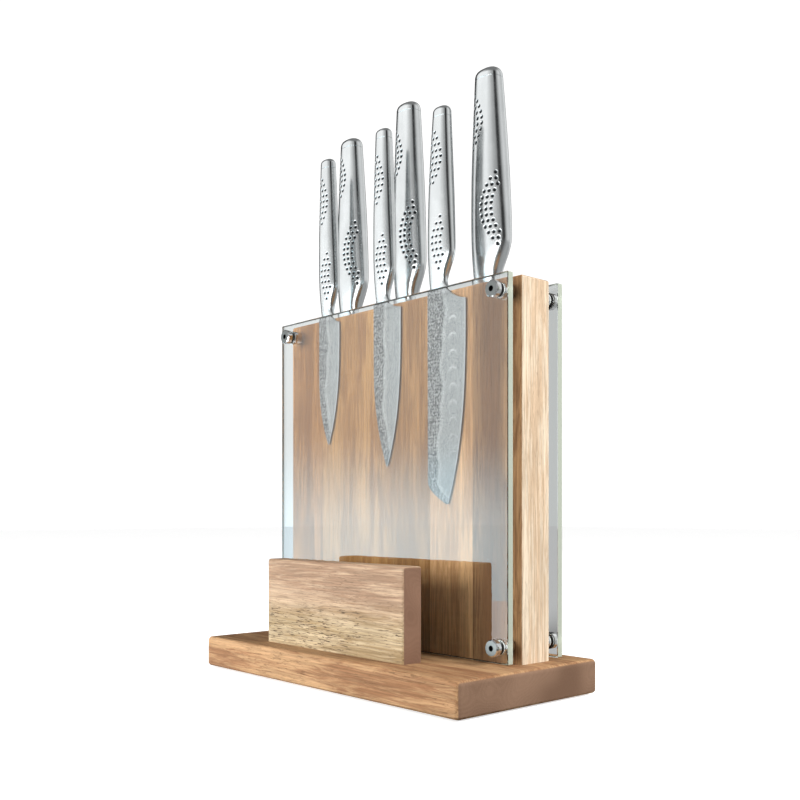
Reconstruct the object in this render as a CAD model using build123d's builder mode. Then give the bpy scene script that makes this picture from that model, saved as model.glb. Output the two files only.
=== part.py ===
from build123d import *

import math
import os
from dataclasses import dataclass

# Knife block with six knives. Millimetres, +Z up. The origin is on the resting plane, under the
# middle of the base. +X runs along the base to the right, +Y runs from the front to the rear.

# ---- base and feet ----
base_length = 270.0
base_depth = 129.0
base_thickness = 22.0
base_edge_radius = 3.0
foot_thickness = 1.5
foot_radius = 9.0
foot_recess = 0.5
foot_inset = 20.0

# ---- upright board of edge-glued staves ----
board_width = 240.0
board_thickness = 27.0
board_height = 243.5
board_front_y = 7.5
board_edge_radius = 1.5
stave_count = 6

# ---- clear panels and their standoffs ----
panel_thickness = 5.0
panel_gap = 8.0
panel_base_gap = 1.0
panel_corner_radius = 1.0
panel_edge_chamfer = 0.4
standoff_inset = 10.0
panel_hole_radius = 2.6
spacer_radius = 5.0
cap_radius = 5.4
cap_thickness = 4.0
cap_chamfer = 0.7
spacer_chamfer = 0.4
socket_radius = 1.9
socket_depth = 2.4
washer_radius = 4.6
washer_thickness = 0.5
shank_radius = 2.0
shank_clearance = 0.1
insert_radius = 3.2
insert_length = 9.0
insert_hole_extra = 1.0
shank_in_insert = 7.5

# ---- magnets shut inside the staves ----
magnet_length = 30.0
magnet_height = 14.0
magnet_thickness = 4.0
magnet_skin = 1.6
magnet_clearance = 0.1
front_magnet_z = 222.0
rear_magnet_z = 198.0

# ---- small block in front of the panel ----
block_length = 149.5
block_thickness = 16.0
block_height = 61.0
block_left_x = -79.5
block_front_y = -46.5
block_edge_radius = 2.0
block_top_radius = 1.8

# ---- wood screws driven up through the base ----
screw_radius = 2.0
screw_head_radius = 4.0
screw_head_height = 2.4
screw_grip = 24.0
screw_tip_chamfer = 1.6
pilot_extra = 1.0
screw_clearance = 0.05
screw_recess = 1.0
drive_radius = 1.1
drive_depth = 1.4
board_screw_staves = (0, 2, 3, 5)

# ---- knives ----
blade_board_clearance = 0.3
handle_rise = 1.5
cutting_edge = 0.3
bevel_width = 7.0
bevel_share = 0.45
tip_thickness_share = 0.6
tip_share = 0.004
heel_curve_share = 0.25
heel_cut_margin = 1.0
tang_width = 8.0
tang_length = 30.0
tang_clearance = 0.05
shell_wall = 1.2
bolster_height = 12.0
butt_cap_height = 7.0
cap_spigot_height = 3.0
cap_spigot_clearance = 0.2
dome_rise_share = 0.36
dome_inset_share = 0.27
dome_steps = 5
heel_width_share = 0.86
neck_width_share = 0.70
neck_height_share = 0.22
heel_thickness_share = 0.33
full_thickness_share = 0.5
full_thickness_power = 4.0
taper_power = 1.3
wedge_share = 0.20
blade_neck_inset = 1.0
section_power = 2.5
section_points = 16
handle_sections = 12
blade_sections = 14
blade_section_power = 1.6
scallop_share = 0.86
scallop_pitch = 7.0
scallop_radius = 5.0
scallop_depth = 1.2

# ---- levels and planes worked out from the dimensions above ----
base_top = foot_thickness + base_thickness
board_top = base_top + board_height
board_rear_y = board_front_y + board_thickness
stave_width = board_width / stave_count
front_panel_y = board_front_y - panel_gap - panel_thickness
rear_panel_y = board_rear_y + panel_gap
panel_bottom = base_top + panel_base_gap
panel_height = board_top - panel_bottom
standoff_x = board_width / 2 - standoff_inset
standoff_low = panel_bottom + standoff_inset
standoff_high = board_top - standoff_inset
spacer_length = panel_gap - washer_thickness
shank_length = washer_thickness + panel_thickness + panel_gap + shank_in_insert
handle_base = board_top + handle_rise
block_middle_x = block_left_x + block_length / 2
block_middle_y = block_front_y + block_thickness / 2
board_middle_y = board_front_y + board_thickness / 2
standoff_points = [(x, z) for x in (-standoff_x, standoff_x) for z in (standoff_low, standoff_high)]
stave_middles = [-board_width / 2 + stave_width * (index + 0.5) for index in range(stave_count)]
board_screw_points = [(stave_middles[index], board_middle_y) for index in board_screw_staves]
block_screw_points = [(block_middle_x + side * block_length / 4, block_middle_y) for side in (-1, 1)]

os.makedirs("parts", exist_ok=True)


def write_piece(piece, name):
    """Label a finished sub-part and write it as one STEP file."""
    piece.part.label = name
    export_step(piece.part, f"parts/{name}.step")


def plane_facing(y, outward):
    """Upright plane at y whose normal points along -Y (outward -1) or +Y (outward +1)."""
    return Plane(origin=(0, y, 0), x_dir=(-outward, 0, 0), z_dir=(0, outward, 0))


# ---------------------------------------------------------------- base and feet

foot_points = {
    f"foot_{row}_{side}": (x, y)
    for row, y in (("front", foot_inset - base_depth / 2), ("rear", base_depth / 2 - foot_inset))
    for side, x in (("left", foot_inset - base_length / 2), ("right", base_length / 2 - foot_inset))
}


def make_base():
    """Base plate with rounded edges, foot recesses and countersunk screw holes underneath."""
    with BuildPart() as base:
        with BuildSketch(Plane.XY.offset(foot_thickness)):
            RectangleRounded(base_length, base_depth, base_edge_radius)
        extrude(amount=base_thickness)
        rims = base.edges().group_by(Axis.Z)
        fillet(rims[-1], radius=base_edge_radius)
        chamfer(base.edges().group_by(Axis.Z)[0], length=base_edge_radius / 2)
        with BuildSketch(Plane.XY.offset(foot_thickness)):
            with Locations(*foot_points.values()):
                Circle(foot_radius)
        extrude(amount=foot_recess, mode=Mode.SUBTRACT)
        with BuildSketch(Plane.XY.offset(foot_thickness)):
            with Locations(*board_screw_points, *block_screw_points):
                Circle(screw_radius + screw_clearance)
        extrude(amount=base_thickness, mode=Mode.SUBTRACT)
        with BuildSketch(Plane.XY.offset(foot_thickness)):
            with Locations(*board_screw_points, *block_screw_points):
                Circle(screw_head_radius + screw_clearance)
        extrude(amount=screw_recess + screw_head_height, mode=Mode.SUBTRACT)
    write_piece(base, "base")


def make_foot(name, place):
    """Thin round pad, half sunk into its recess under the base."""
    with BuildPart() as foot:
        with BuildSketch(Plane.XY):
            with Locations(place):
                Circle(foot_radius)
        extrude(amount=foot_thickness + foot_recess)
        chamfer(foot.edges().group_by(Axis.Z)[0], length=foot_recess)
    write_piece(foot, name)


# ---------------------------------------------------------------- wood screws

def make_screws(name, places):
    """Flat-headed wood screws with a round drive recess, heads sunk in the underside of the base."""
    head_bottom = foot_thickness + screw_recess
    with BuildPart() as screws:
        with BuildSketch(Plane.XY.offset(head_bottom)):
            with Locations(*places):
                Circle(screw_head_radius)
        extrude(amount=screw_head_height)
        with BuildSketch(Plane.XY.offset(head_bottom)):
            with Locations(*places):
                Circle(screw_radius)
        extrude(amount=base_top + screw_grip - head_bottom)
        chamfer(screws.edges().group_by(Axis.Z)[-1], length=screw_tip_chamfer)
        with BuildSketch(Plane.XY.offset(head_bottom)):
            with Locations(*places):
                RegularPolygon(drive_radius, 6)
        extrude(amount=drive_depth, mode=Mode.SUBTRACT)
    write_piece(screws, name)


def cut_screw_pilots(places):
    """Pilot holes up from the base top, a little deeper than the screw tips."""
    with BuildSketch(Plane.XY.offset(base_top)) as pilots:
        with Locations(*places):
            Circle(screw_radius + screw_clearance)
    extrude(pilots.sketch, amount=screw_grip + pilot_extra, mode=Mode.SUBTRACT)


# ---------------------------------------------------------------- upright board

def inner_edge_sign(index):
    """Which edge of a stave its magnet mortises open to: the edge glued to the next stave inwards."""
    return 1 if index < stave_count / 2 else -1


def magnet_middle_x(index):
    edge = stave_middles[index] + inner_edge_sign(index) * stave_width / 2
    return edge - inner_edge_sign(index) * (magnet_length / 2 + magnet_clearance)


front_magnet_y = board_front_y + magnet_skin + magnet_clearance + magnet_thickness / 2
rear_magnet_y = board_rear_y - magnet_skin - magnet_clearance - magnet_thickness / 2


def make_stave(index):
    """One vertical stave, with two magnet mortises and, where they fall in it, screw and insert holes."""
    middle = stave_middles[index]
    left = middle - stave_width / 2
    right = middle + stave_width / 2
    mortise_x = magnet_middle_x(index) + inner_edge_sign(index) * magnet_clearance
    screws_here = [point for point in board_screw_points if left < point[0] < right]
    standoffs_here = [point for point in standoff_points if left < point[0] < right]
    with BuildPart() as stave:
        with BuildSketch(Plane.XY.offset(base_top)):
            with Locations((middle, board_middle_y)):
                Rectangle(stave_width, board_thickness)
        extrude(amount=board_height)
        fillet(stave.edges().filter_by(Axis.X).group_by(Axis.Z)[-1], radius=board_edge_radius)
        if index == 0:
            fillet(stave.edges().filter_by(Axis.Z).group_by(Axis.X)[0], radius=board_edge_radius)
        if index == stave_count - 1:
            fillet(stave.edges().filter_by(Axis.Z).group_by(Axis.X)[-1], radius=board_edge_radius)
        for magnet_y, magnet_z in ((front_magnet_y, front_magnet_z), (rear_magnet_y, rear_magnet_z)):
            with Locations((mortise_x, magnet_y, magnet_z)):
                Box(
                    magnet_length + 2 * magnet_clearance,
                    magnet_thickness + 2 * magnet_clearance,
                    magnet_height + 2 * magnet_clearance,
                    mode=Mode.SUBTRACT,
                )
        if screws_here:
            cut_screw_pilots(screws_here)
        if standoffs_here:
            for face_y, outward in ((board_front_y, -1), (board_rear_y, 1)):
                with BuildSketch(plane_facing(face_y, outward)):
                    with Locations(*[(-outward * x, z) for x, z in standoffs_here]):
                        Circle(insert_radius)
                extrude(amount=-insert_length - insert_hole_extra, mode=Mode.SUBTRACT)
    write_piece(stave, f"board_stave_{index + 1}")


def make_magnets(name, magnet_y, magnet_z):
    """One block magnet in each stave, as separate solids."""
    with BuildPart() as magnets:
        with Locations(*[(magnet_middle_x(index), magnet_y, magnet_z) for index in range(stave_count)]):
            Box(magnet_length, magnet_thickness, magnet_height)
    write_piece(magnets, name)


# ---------------------------------------------------------------- clear panels and standoffs

def make_panel(name, near_y):
    """Clear sheet with four clearance holes, rounded corners and finely chamfered rims."""
    with BuildPart() as panel:
        with BuildSketch(plane_facing(near_y, -1)):
            with Locations((0, panel_bottom + panel_height / 2)):
                RectangleRounded(board_width, panel_height, panel_corner_radius)
            with Locations(*standoff_points):
                Circle(panel_hole_radius, mode=Mode.SUBTRACT)
        extrude(amount=-panel_thickness)
        rims = [face.outer_wire().edges() for face in panel.faces().filter_by(Axis.Y)]
        chamfer([edge for rim in rims for edge in rim], length=panel_edge_chamfer)
    write_piece(panel, name)


def extrude_discs(plane_y, outward, radius, length, bore=0.0):
    """Round solids or rings at the four standoff places, growing outwards from plane_y."""
    with BuildSketch(plane_facing(plane_y, outward)) as discs:
        with Locations(*[(-outward * x, z) for x, z in standoff_points]):
            Circle(radius)
            if bore:
                Circle(bore, mode=Mode.SUBTRACT)
    extrude(discs.sketch, amount=length)


def make_standoffs(row, board_face_y, outward):
    """Spacers, washers, inserts and cap screws that hold one panel off one face of the board."""
    bore = shank_radius + shank_clearance
    spacer_end = board_face_y + outward * spacer_length
    panel_outer = board_face_y + outward * (panel_gap + panel_thickness)
    head_seat = panel_outer + outward * washer_thickness
    head_face = head_seat + outward * cap_thickness

    with BuildPart() as spacers:
        extrude_discs(board_face_y, outward, spacer_radius, spacer_length, bore)
        outer_rims = spacers.edges().filter_by(GeomType.CIRCLE).sort_by(SortBy.RADIUS)[-2 * len(standoff_points) :]
        chamfer(outer_rims, length=spacer_chamfer)
    write_piece(spacers, f"{row}_spacers")

    with BuildPart() as washers:
        extrude_discs(spacer_end, outward, washer_radius, washer_thickness, bore)
        extrude_discs(panel_outer, outward, washer_radius, washer_thickness, bore)
    write_piece(washers, f"{row}_washers")

    with BuildPart() as inserts:
        extrude_discs(board_face_y, -outward, insert_radius, insert_length, bore)
    write_piece(inserts, f"{row}_inserts")

    with BuildPart() as cap_screws:
        extrude_discs(head_seat, outward, cap_radius, cap_thickness)
        chamfer(
            cap_screws.faces().sort_by(Axis.Y)[::outward][-4:].edges(),
            length=cap_chamfer,
        )
        with BuildSketch(plane_facing(head_face, outward)):
            with Locations(*[(-outward * x, z) for x, z in standoff_points]):
                RegularPolygon(socket_radius, 6)
        extrude(amount=-socket_depth, mode=Mode.SUBTRACT)
        extrude_discs(head_seat, -outward, shank_radius, shank_length)
    write_piece(cap_screws, f"{row}_cap_screws")


# ---------------------------------------------------------------- front block

def make_front_block():
    """Rounded wooden block that stands on the base in front of the front panel."""
    with BuildPart() as front_block:
        with BuildSketch(Plane.XY.offset(base_top)):
            with Locations((block_middle_x, block_middle_y)):
                RectangleRounded(block_length, block_thickness, block_edge_radius)
        extrude(amount=block_height)
        fillet(front_block.edges().group_by(Axis.Z)[-1], radius=block_top_radius)
        cut_screw_pilots(block_screw_points)
    write_piece(front_block, "front_block")


# ---------------------------------------------------------------- knives

@dataclass
class Knife:
    """Sizes of one knife. Offsets are measured across the blade, from the line of its spine."""

    name: str
    spine_x: float
    row: str
    blade_length: float
    blade_width: float
    blade_thickness: float
    tip_offset: float
    clip_length: float
    clip_power: float
    edge_power: float
    heel_drop: float
    handle_length: float
    belly_height: float
    belly_width: float
    belly_thickness: float
    butt_width: float
    butt_thickness: float
    spine_lean: float
    scalloped: bool = False

    def middle_y(self):
        """Middle plane of the blade and handle, just clear of the board."""
        reach = blade_board_clearance + self.blade_thickness / 2
        return board_front_y - reach if self.row == "front" else board_rear_y + reach

    def spine_offset(self, above_tip):
        """How far the back of the blade has dropped towards the tip."""
        if above_tip >= self.clip_length:
            return 0.0
        return self.tip_offset * (1 - above_tip / self.clip_length) ** self.clip_power

    def edge_offset(self, above_tip):
        """Where the cutting edge is, from the line of the spine."""
        straight_from = self.blade_length - self.heel_drop
        left = max(0.0, 1 - above_tip / straight_from)
        return self.blade_width - (self.blade_width - self.tip_offset) * left**self.edge_power

    def neck_edge(self):
        """Offset of the blade's front corner where it meets the handle, a little inside the handle."""
        return self.handle_width(0) - blade_neck_inset

    def neck_height(self):
        return self.belly_height * neck_height_share

    def handle_width(self, height):
        """Full width across the handle: flared at the heel, waisted at the neck, full at the belly."""
        neck_width = self.belly_width * neck_width_share
        heel_width = self.belly_width * heel_width_share
        if height <= self.neck_height():
            return neck_width + (heel_width - neck_width) * (1 - height / self.neck_height()) ** 2
        if height <= self.belly_height:
            share = (height - self.neck_height()) / (self.belly_height - self.neck_height())
            return neck_width + (self.belly_width - neck_width) * (1 - math.cos(math.pi * share)) / 2
        return self.tapered(height, self.belly_height, self.belly_width, self.butt_width)

    def handle_thickness(self, height):
        """Full thickness of the handle: thinnest where it meets the blade, thickest at mid height."""
        full_height = self.handle_length * full_thickness_share
        if height > full_height:
            return self.tapered(height, full_height, self.belly_thickness, self.butt_thickness)
        heel_thickness = self.belly_thickness * heel_thickness_share
        rise = 1 - (1 - height / full_height) ** full_thickness_power
        return heel_thickness + (self.belly_thickness - heel_thickness) * rise

    def tapered(self, height, start_height, start_size, butt_size):
        """A handle size above start_height, easing from its start size to its size at the butt."""
        share = (height - start_height) / (self.handle_length - start_height)
        return start_size + (butt_size - start_size) * share**taper_power

    def wedge(self, height):
        """How much thicker the back is than the belly side, as a share of the thickness."""
        fullness = (self.handle_width(height) - self.butt_width) / (self.belly_width - self.butt_width)
        return wedge_share * max(0.0, fullness)

    def handle_back(self, height):
        """Offset of the handle's back from the line of the spine."""
        return self.spine_lean * (height / self.handle_length) ** 2

    def section_outline(self, height, wall=0.0):
        """Points of one rounded handle section, drawn in by wall all round."""
        half_width = self.handle_width(height) / 2
        half_thickness = self.handle_thickness(height) / 2 - wall
        middle_x = self.spine_x + self.handle_back(height) + half_width
        half_width -= wall
        points = []
        for step in range(section_points):
            turn = 2 * math.pi * step / section_points
            across = math.copysign(abs(math.cos(turn)) ** (2 / section_power), math.cos(turn))
            through = math.copysign(abs(math.sin(turn)) ** (2 / section_power), math.sin(turn))
            through *= 1 - self.wedge(height) * across
            points.append((middle_x + half_width * across, self.middle_y() + half_thickness * through))
        return points


def handle_section(knife, height, wall=0.0):
    """One closed section of the handle, drawn in by wall all round."""
    with BuildSketch(Plane.XY.offset(handle_base + height)) as section:
        with BuildLine():
            Spline(*knife.section_outline(height, wall), periodic=True)
        make_face()
    return section.sketch


def blade_section(knife, above_tip):
    """Section of the ground blade: flat sides, then two bevels down to the cutting edge."""
    middle_y = knife.middle_y()
    back = knife.spine_x + knife.spine_offset(above_tip)
    edge = knife.spine_x + knife.edge_offset(above_tip)
    grind = min(bevel_width, (edge - back) * bevel_share)
    thinning = tip_thickness_share + (1 - tip_thickness_share) * above_tip / knife.blade_length
    half = knife.blade_thickness / 2 * thinning
    fine = cutting_edge / 2
    with BuildSketch(Plane.XY.offset(handle_base - knife.blade_length + above_tip)) as section:
        with BuildLine():
            Polyline(
                (back, middle_y - half),
                (edge - grind, middle_y - half),
                (edge, middle_y - fine),
                (edge, middle_y + fine),
                (edge - grind, middle_y + half),
                (back, middle_y + half),
                close=True,
            )
        make_face()
    return section.sketch


def make_blade(knife):
    """Blade ground to its edge, with the heel cut away up to the handle and a tang above."""
    middle_y = knife.middle_y()
    neck = (knife.spine_x + knife.neck_edge(), handle_base)
    corner = (knife.spine_x + knife.blade_width + heel_cut_margin, handle_base - knife.heel_drop)
    cut_top = handle_base + heel_cut_margin
    shares = [(step / (blade_sections - 1)) ** blade_section_power for step in range(blade_sections)]
    heights = [knife.blade_length * (tip_share + (1 - tip_share) * share) for share in shares]
    with BuildPart() as blade:
        loft([blade_section(knife, above_tip) for above_tip in heights], ruled=True)
        with BuildSketch(plane_facing(middle_y, -1)):
            with BuildLine():
                SagittaArc(neck, corner, -knife.heel_drop * heel_curve_share)
                Polyline(corner, (corner[0], cut_top), (neck[0], cut_top), neck)
            make_face()
        extrude(amount=knife.blade_thickness, both=True, mode=Mode.SUBTRACT)
        with BuildSketch(plane_facing(middle_y, -1)):
            with Locations((knife.spine_x + knife.neck_edge() / 2, handle_base + tang_length / 2)):
                Rectangle(tang_width, tang_length)
        extrude(amount=knife.blade_thickness / 2, both=True)
        if knife.scalloped:
            cut_scallops(knife)
    write_piece(blade, f"{knife.name}_blade")


def cut_scallops(knife):
    """Row of shallow scallops along the cutting edge, from the heel almost to the tip."""
    edge_length = knife.blade_length - knife.heel_drop
    count = int(edge_length * scallop_share / scallop_pitch)
    tip_z = handle_base - knife.blade_length
    with BuildSketch(plane_facing(knife.middle_y(), -1)) as scallops:
        for step in range(count):
            above_tip = edge_length - scallop_pitch * (step + 1)
            edge = knife.spine_x + knife.edge_offset(above_tip)
            with Locations((edge + scallop_radius - scallop_depth, tip_z + above_tip)):
                Circle(scallop_radius)
    extrude(scallops.sketch, amount=knife.blade_thickness, both=True, mode=Mode.SUBTRACT)


def loft_heights(low, high):
    """Evenly spaced section heights, so that the lofted sides stay smooth."""
    return [low + (high - low) * step / (handle_sections - 1) for step in range(handle_sections)]


def make_handle(knife):
    """Hollow handle shell, solid at the bolster apart from the slot that takes the tang."""
    shell_top = knife.handle_length - butt_cap_height
    slot_width = tang_width + 2 * tang_clearance
    slot_thickness = knife.blade_thickness + 2 * tang_clearance
    with BuildPart() as handle:
        loft([handle_section(knife, height) for height in loft_heights(0, shell_top)])
        hollow_heights = loft_heights(bolster_height, shell_top)
        loft([handle_section(knife, height, shell_wall) for height in hollow_heights], mode=Mode.SUBTRACT)
        with BuildSketch(Plane.XY.offset(handle_base)):
            with Locations((knife.spine_x + knife.neck_edge() / 2, knife.middle_y())):
                Rectangle(slot_width, slot_thickness)
        extrude(amount=tang_length + tang_clearance, mode=Mode.SUBTRACT)
    write_piece(handle, f"{knife.name}_handle")


def make_butt_cap(knife):
    """Rounded cap that closes the top of the handle, with a spigot down into the shell."""
    shell_top = knife.handle_length - butt_cap_height
    rise = knife.butt_thickness * dome_rise_share
    inset = knife.butt_thickness * dome_inset_share
    shoulder = knife.handle_length - rise
    turns = [math.pi / 2 * step / dome_steps for step in range(dome_steps + 1)]
    dome = [(shoulder + rise * math.sin(turn), inset * (1 - math.cos(turn))) for turn in turns]
    spigot_inset = shell_wall + cap_spigot_clearance
    spigot_heights = (shell_top - cap_spigot_height, shell_top)
    with BuildPart() as butt_cap:
        loft([handle_section(knife, height) for height in (shell_top, shoulder)])
        loft([handle_section(knife, height, drawn_in) for height, drawn_in in dome])
        loft([handle_section(knife, height, spigot_inset) for height in spigot_heights])
    write_piece(butt_cap, f"{knife.name}_butt_cap")


knives = [
    Knife(
        name="paring", spine_x=-81.6, row="front", blade_length=98.5, blade_width=24.0,
        blade_thickness=2.0, tip_offset=11.0, clip_length=48.0, clip_power=2.0, edge_power=3.1,
        heel_drop=5.5, handle_length=121.6, belly_height=26.2, belly_width=18.1,
        belly_thickness=12.4, butt_width=12.4, butt_thickness=9.2, spine_lean=0.7,
    ),
    Knife(
        name="utility", spine_x=-16.7, row="front", blade_length=118.0, blade_width=28.2,
        blade_thickness=2.0, tip_offset=13.8, clip_length=70.0, clip_power=2.0, edge_power=3.2,
        heel_drop=5.0, handle_length=125.8, belly_height=27.1, belly_width=18.4,
        belly_thickness=13.2, butt_width=12.6, butt_thickness=9.4, spine_lean=1.1,
    ),
    Knife(
        name="santoku", spine_x=39.8, row="front", blade_length=145.0, blade_width=35.1,
        blade_thickness=2.0, tip_offset=18.7, clip_length=15.5, clip_power=1.7, edge_power=3.0,
        heel_drop=9.0, handle_length=123.2, belly_height=26.6, belly_width=21.5,
        belly_thickness=13.6, butt_width=12.9, butt_thickness=9.6, spine_lean=4.4,
    ),
    Knife(
        name="carving", spine_x=-94.3, row="rear", blade_length=200.0, blade_width=33.0,
        blade_thickness=2.4, tip_offset=8.0, clip_length=60.0, clip_power=2.0, edge_power=3.0,
        heel_drop=6.0, handle_length=146.9, belly_height=34.6, belly_width=29.0,
        belly_thickness=18.8, butt_width=18.5, butt_thickness=13.4, spine_lean=2.2,
    ),
    Knife(
        name="bread", spine_x=-27.0, row="rear", blade_length=205.0, blade_width=33.0,
        blade_thickness=2.4, tip_offset=6.0, clip_length=24.0, clip_power=2.0, edge_power=8.0,
        heel_drop=6.0, handle_length=154.6, belly_height=36.4, belly_width=27.8,
        belly_thickness=19.3, butt_width=18.9, butt_thickness=13.8, spine_lean=2.1, scalloped=True,
    ),
    Knife(
        name="chef", spine_x=54.3, row="rear", blade_length=205.0, blade_width=46.0,
        blade_thickness=2.4, tip_offset=5.0, clip_length=50.0, clip_power=2.0, edge_power=2.6,
        heel_drop=9.0, handle_length=152.4, belly_height=35.9, belly_width=29.9,
        belly_thickness=21.0, butt_width=19.4, butt_thickness=14.4, spine_lean=1.7,
    ),
]

# ---------------------------------------------------------------- build everything

make_base()
for foot_name, foot_place in foot_points.items():
    make_foot(foot_name, foot_place)
for stave_index in range(stave_count):
    make_stave(stave_index)
make_magnets("front_magnets", front_magnet_y, front_magnet_z)
make_magnets("rear_magnets", rear_magnet_y, rear_magnet_z)
make_screws("board_screws", board_screw_points)
make_screws("block_screws", block_screw_points)
make_front_block()
make_panel("front_panel", front_panel_y)
make_panel("rear_panel", rear_panel_y)
make_standoffs("front", board_front_y, -1)
make_standoffs("rear", board_rear_y, 1)
for knife in knives:
    make_blade(knife)
    make_handle(knife)
    make_butt_cap(knife)
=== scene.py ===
import math
from typing import NamedTuple

import bpy
import numpy as np
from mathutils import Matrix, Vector


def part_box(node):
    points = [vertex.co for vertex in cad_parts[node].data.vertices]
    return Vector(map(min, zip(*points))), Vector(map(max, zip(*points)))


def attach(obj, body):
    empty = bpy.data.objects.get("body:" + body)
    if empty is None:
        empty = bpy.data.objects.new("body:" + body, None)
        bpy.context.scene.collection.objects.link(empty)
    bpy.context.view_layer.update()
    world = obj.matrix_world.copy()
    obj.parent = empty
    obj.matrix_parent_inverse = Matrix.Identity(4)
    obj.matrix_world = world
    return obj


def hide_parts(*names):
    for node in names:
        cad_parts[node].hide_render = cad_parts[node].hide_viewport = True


# Looks of the knife block: wood, clear panels, bright fittings and six all-steel knives.
# Metres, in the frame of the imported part. Sizes below are in metres unless a name says otherwise.

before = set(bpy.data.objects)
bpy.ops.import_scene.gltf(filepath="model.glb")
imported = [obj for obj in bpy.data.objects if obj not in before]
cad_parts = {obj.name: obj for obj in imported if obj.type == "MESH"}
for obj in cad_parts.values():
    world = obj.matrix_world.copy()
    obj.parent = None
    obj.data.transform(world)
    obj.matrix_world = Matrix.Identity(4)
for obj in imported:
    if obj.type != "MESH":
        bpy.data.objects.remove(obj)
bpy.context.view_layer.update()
MM = 0.001


# ---------------------------------------------------------------- node helpers

class Look:
    """Short calls for building one node material."""

    def __init__(self, name):
        self.start(bpy.data.materials.new(name), "ShaderNodeOutputMaterial")

    def start(self, owner, output_kind):
        owner.use_nodes = True
        self.material = owner
        self.tree = owner.node_tree
        self.tree.nodes.clear()
        self.output = self.tree.nodes.new(output_kind)

    def add(self, kind, inputs=None, **settings):
        node = self.tree.nodes.new(kind)
        for setting, value in settings.items():
            setattr(node, setting, value)
        for key, value in (inputs or {}).items():
            if isinstance(value, bpy.types.NodeSocket):
                self.tree.links.new(value, node.inputs[key])
            else:
                node.inputs[key].default_value = value
        return node

    def place(self, scale, offset=(0, 0, 0)):
        """Row-frame position, shifted and then stretched by scale."""
        coordinates = self.add("ShaderNodeTexCoord")
        moved = self.add("ShaderNodeVectorMath", {0: coordinates.outputs["Object"], 1: offset})
        scaled = self.add("ShaderNodeVectorMath", {0: moved.outputs[0], 1: scale}, operation="MULTIPLY")
        return scaled.outputs[0]

    def row_position(self):
        """Position in the row frame, as separate X, Y and Z."""
        coordinates = self.add("ShaderNodeTexCoord")
        return self.add("ShaderNodeSeparateXYZ", {0: coordinates.outputs["Object"]})

    def facing(self):
        """Direction the surface faces, as separate X, Y and Z."""
        coordinates = self.add("ShaderNodeTexCoord")
        return self.add("ShaderNodeSeparateXYZ", {0: coordinates.outputs["Normal"]})

    def noise(self, place, scale, detail, roughness, distortion=0.0):
        inputs = {"Vector": place, "Scale": scale, "Detail": detail}
        inputs.update({"Roughness": roughness, "Distortion": distortion})
        return self.add("ShaderNodeTexNoise", inputs).outputs["Fac"]

    def spread(self, value, low, high, to_low=0.0, to_high=1.0):
        """Map a value smoothly from one range to another, held at both ends."""
        inputs = {"Value": value, "From Min": low, "From Max": high, "To Min": to_low, "To Max": to_high}
        return self.add("ShaderNodeMapRange", inputs, interpolation_type="SMOOTHSTEP").outputs["Result"]

    def maths(self, operation, first, second=0.0):
        return self.add("ShaderNodeMath", {0: first, 1: second}, operation=operation).outputs[0]

    def mix(self, share, first, second, blend="MIX"):
        inputs = {"Factor": share, 6: first, 7: second}
        return self.add("ShaderNodeMix", inputs, data_type="RGBA", blend_type=blend).outputs[2]

    def ramp(self, value, stops):
        """Colours eased between (position, colour) stops."""
        node = self.add("ShaderNodeValToRGB", {"Fac": value})
        node.color_ramp.interpolation = "EASE"
        elements = node.color_ramp.elements
        while len(elements) < len(stops):
            elements.new(0.5)
        for element, (position, colour) in zip(elements, stops):
            element.position = position
            element.color = (*colour, 1.0)
        return node.outputs["Color"]

    def bump(self, height, distance, strength=1.0):
        inputs = {"Height": height, "Distance": distance, "Strength": strength}
        return self.add("ShaderNodeBump", inputs).outputs["Normal"]

    def dot(self, vector, direction):
        """How far a vector reaches along a direction."""
        node = self.add("ShaderNodeVectorMath", {0: vector, 1: direction}, operation="DOT_PRODUCT")
        return node.outputs["Value"]

    def sum_of(self, first, second):
        """Sum of two vectors."""
        return self.add("ShaderNodeVectorMath", {0: first, 1: second}, operation="ADD").outputs[0]

    def attribute(self, name):
        return self.add("ShaderNodeAttribute", attribute_name=name).outputs["Fac"]

    def principled(self, inputs):
        node = self.add("ShaderNodeBsdfPrincipled", inputs)
        self.tree.links.new(node.outputs["BSDF"], self.output.inputs["Surface"])
        return node


class WorldLook(Look):
    """The same short calls for the nodes of the world."""

    def __init__(self, world):
        self.start(world, "ShaderNodeOutputWorld")


def tone(red, green, blue):
    """Linear colour from display values of 0 to 255."""
    return tuple((value / 255) ** 2.2 for value in (red, green, blue))


def shade(colour, factor):
    return tuple(value * factor for value in colour)


# ---------------------------------------------------------------- wood

X_AXIS, Y_AXIS, Z_AXIS = 0, 1, 2
FIGURE_CONTRAST = 1.35
LOW_BORDER_WAVE = 30 * MM
STREAK_WANDER = 20 * MM
PORE_SHARE = 0.30


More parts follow.
